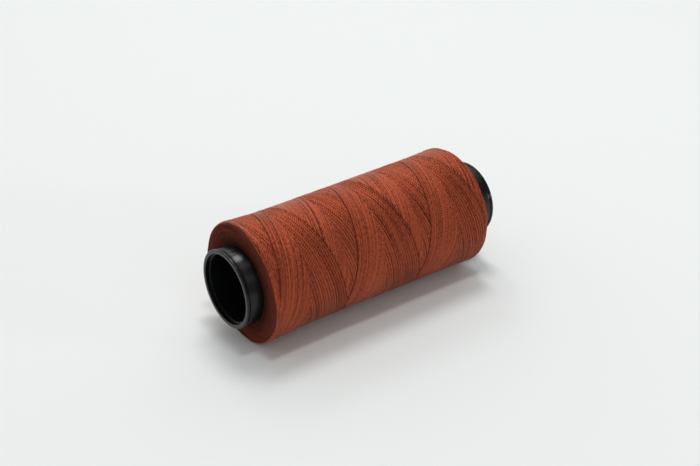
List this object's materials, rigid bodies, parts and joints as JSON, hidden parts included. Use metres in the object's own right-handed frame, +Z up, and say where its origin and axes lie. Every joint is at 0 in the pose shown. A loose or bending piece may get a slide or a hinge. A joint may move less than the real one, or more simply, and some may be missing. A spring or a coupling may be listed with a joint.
{
  "type": "waxed thread spool",
  "caption": "Cylindrical spool of waxed thread wound crosswise on an open moulded plastic core tube with a rim and catch groove at each end.",
  "frame": {"origin": "on the bore's axis, halfway along the core tube", "axes": "+X along the bore from the front end to the rear end, +Z up with the spool lying on its side"},
  "size_m": [0.101, 0.0408, 0.0403],
  "materials": {
    "core_plastic": "smooth moulded black plastic, glossy",
    "waxed_thread": "waxed twisted thread, rust brown, soft sheen"
  },
  "bodies": {
    "root": {"core_tube": "core_plastic", "thread_inner_layers": "waxed_thread", "thread_outer_turns": "waxed_thread"}
  },
  "joints": []
}
